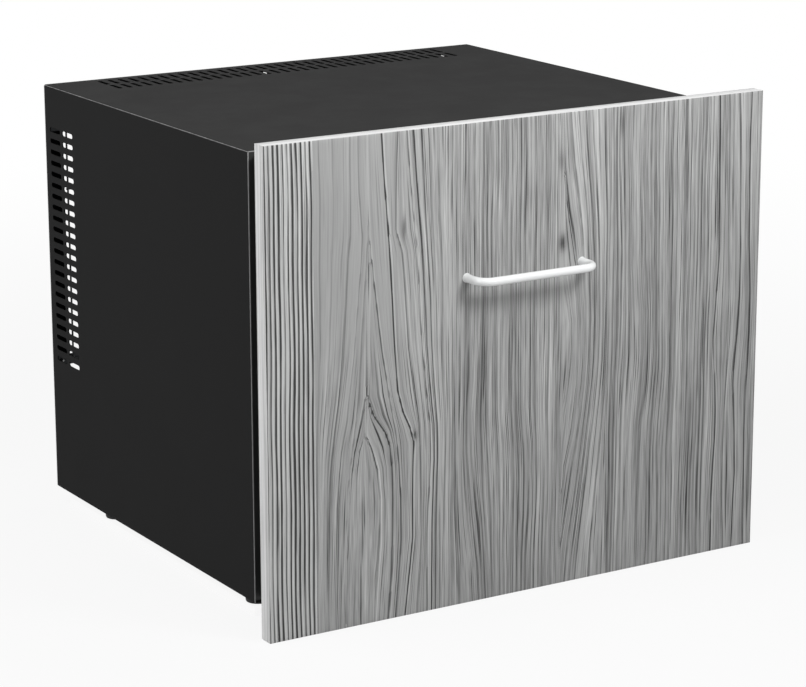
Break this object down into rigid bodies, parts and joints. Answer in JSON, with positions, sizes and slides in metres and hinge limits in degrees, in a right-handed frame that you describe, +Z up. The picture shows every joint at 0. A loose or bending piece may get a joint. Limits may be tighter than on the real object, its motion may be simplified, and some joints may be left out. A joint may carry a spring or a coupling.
{
  "type": "hotel minibar cabinet",
  "caption": "Built-in drawer minibar: black insulated cabinet with vented rear, and a drawer on telescopic runners behind a grey wood-look panel with a white bow handle.",
  "frame": {"origin": "under the middle of the whole object, level with the bottom edge of the decor panel", "axes": "+X to the right seen from the front, +Y to the back, +Z up; the drawer opens towards -Y"},
  "size_m": [0.548, 0.5272, 0.457],
  "materials": {
    "casing_paint": "satin black powder coat",
    "door_paint": "satin black",
    "zinc_sheet": "zinc-coated sheet",
    "screw_steel": "zinc-plated",
    "guard_wire": "black coated wire",
    "insulation_foam": "rigid foam",
    "liner_white": "semi-gloss",
    "plastic_black": "fine texture",
    "rubber_black": "matte",
    "magnet_ferrite": "matte",
    "wood_board": "grey washed, slightly embossed grain",
    "wood_edge": "edge band in the same decor",
    "handle_white": "semi-gloss powder coat",
    "sink_aluminium": "extruded",
    "module_ceramic": "matte",
    "board_green": "solder mask",
    "lens_frost": "frosted",
    "switch_white": "moulded",
    "basket_grey": "moulded",
    "divider_smoke": "moulded",
    "ball_steel": "polished"
  },
  "bodies": {
    "cabinet": {"outer_casing": "casing_paint", "base_plate": "zinc_sheet", "insulation_jacket": "insulation_foam", "inner_liner": "liner_white", "front_frame": "plastic_black", "bulkhead": "zinc_sheet", "wire_guard": "guard_wire", "foot_front_left": "rubber_black", "foot_front_right": "rubber_black", "foot_rear_left": "rubber_black", "foot_rear_right": "rubber_black", "foot_bolts": "screw_steel", "casing_screws": "screw_steel", "cold_sink": "sink_aluminium", "cold_block": "sink_aluminium", "peltier_module": "module_ceramic", "hot_sink": "sink_aluminium", "hot_fan_frame": "plastic_black", "cold_fan_frame": "plastic_black", "cooling_screws": "screw_steel", "cold_air_cover": "liner_white", "supply_box": "plastic_black", "supply_cover": "plastic_black", "mains_inlet": "plastic_black", "circuit_board": "board_green", "lamp_housing": "liner_white", "lamp_board": "board_green", "lamp_lens": "lens_frost", "reed_switch": "switch_white", "runner_outer_right": "zinc_sheet", "runner_outer_left": "zinc_sheet", "runner_screws": "screw_steel"},
    "drawer": {"runner_inner_right": "zinc_sheet", "runner_inner_left": "zinc_sheet", "drawer_rail_right": "zinc_sheet", "drawer_rail_left": "zinc_sheet", "basket": "basket_grey", "basket_screws": "screw_steel", "door_pan": "door_paint", "door_foam": "insulation_foam", "door_liner": "liner_white", "door_magnet": "magnet_ferrite", "gasket": "rubber_black", "gasket_magnet": "magnet_ferrite", "decor_panel": "wood_board", "edge_band": "wood_edge", "handle": "handle_white", "handle_screws": "screw_steel", "panel_brackets": "zinc_sheet", "bracket_screws": "screw_steel"},
    "middle_right": {"runner_middle_right": "zinc_sheet"},
    "middle_left": {"runner_middle_left": "zinc_sheet"},
    "outer_cage_right": {"outer_ball_cage_right": "ball_steel"},
    "outer_cage_left": {"outer_ball_cage_left": "ball_steel"},
    "inner_cage_right": {"inner_ball_cage_right": "ball_steel"},
    "inner_cage_left": {"inner_ball_cage_left": "ball_steel"},
    "divider": {"bottle_divider": "divider_smoke"},
    "hot_rotor": {"hot_fan_rotor": "plastic_black"},
    "cold_rotor": {"cold_fan_rotor": "plastic_black"},
    "dial": {"thermostat_dial": "plastic_black"}
  },
  "joints": [
    {"name": "drawer_slide", "type": "slide", "parent": "cabinet", "child": "drawer", "axis": [0, -1, 0], "range_m": [0, 0.3]},
    {"name": "middle_slide_right", "type": "slide", "parent": "cabinet", "child": "middle_right", "axis": [0, -1, 0], "range_m": [0, 0.15]},
    {"name": "outer_cage_slide_right", "type": "slide", "parent": "cabinet", "child": "outer_cage_right", "axis": [0, -1, 0], "range_m": [0, 0.075]},
    {"name": "inner_cage_slide_right", "type": "slide", "parent": "cabinet", "child": "inner_cage_right", "axis": [0, -1, 0], "range_m": [0, 0.225]},
    {"name": "middle_slide_left", "type": "slide", "parent": "cabinet", "child": "middle_left", "axis": [0, -1, 0], "range_m": [0, 0.15]},
    {"name": "outer_cage_slide_left", "type": "slide", "parent": "cabinet", "child": "outer_cage_left", "axis": [0, -1, 0], "range_m": [0, 0.075]},
    {"name": "inner_cage_slide_left", "type": "slide", "parent": "cabinet", "child": "inner_cage_left", "axis": [0, -1, 0], "range_m": [0, 0.225]},
    {"name": "divider_slide", "type": "slide", "parent": "drawer", "child": "divider", "axis": [0, 1, 0], "range_m": [-0.123, 0.13]},
    {"name": "hot_fan_spin", "type": "hinge", "parent": "cabinet", "child": "hot_rotor", "pos_m": [0, 0.2414, 0.3015], "axis": [0, 1, 0], "continuous": true},
    {"name": "cold_fan_spin", "type": "hinge", "parent": "cabinet", "child": "cold_rotor", "pos_m": [0, 0.1104, 0.3015], "axis": [0, 1, 0], "continuous": true},
    {"name": "thermostat_turn", "type": "hinge", "parent": "cabinet", "child": "dial", "pos_m": [-0.106, 0.2514, 0.0665], "axis": [0, 1, 0], "range_deg": [0, 270]}
  ],
  "couplings": [
    {"joint": "middle_slide_right", "follows": "drawer_slide", "ratio": 0.5},
    {"joint": "outer_cage_slide_right", "follows": "drawer_slide", "ratio": 0.25},
    {"joint": "inner_cage_slide_right", "follows": "drawer_slide", "ratio": 0.75},
    {"joint": "middle_slide_left", "follows": "drawer_slide", "ratio": 0.5},
    {"joint": "outer_cage_slide_left", "follows": "drawer_slide", "ratio": 0.25},
    {"joint": "inner_cage_slide_left", "follows": "drawer_slide", "ratio": 0.75}
  ]
}
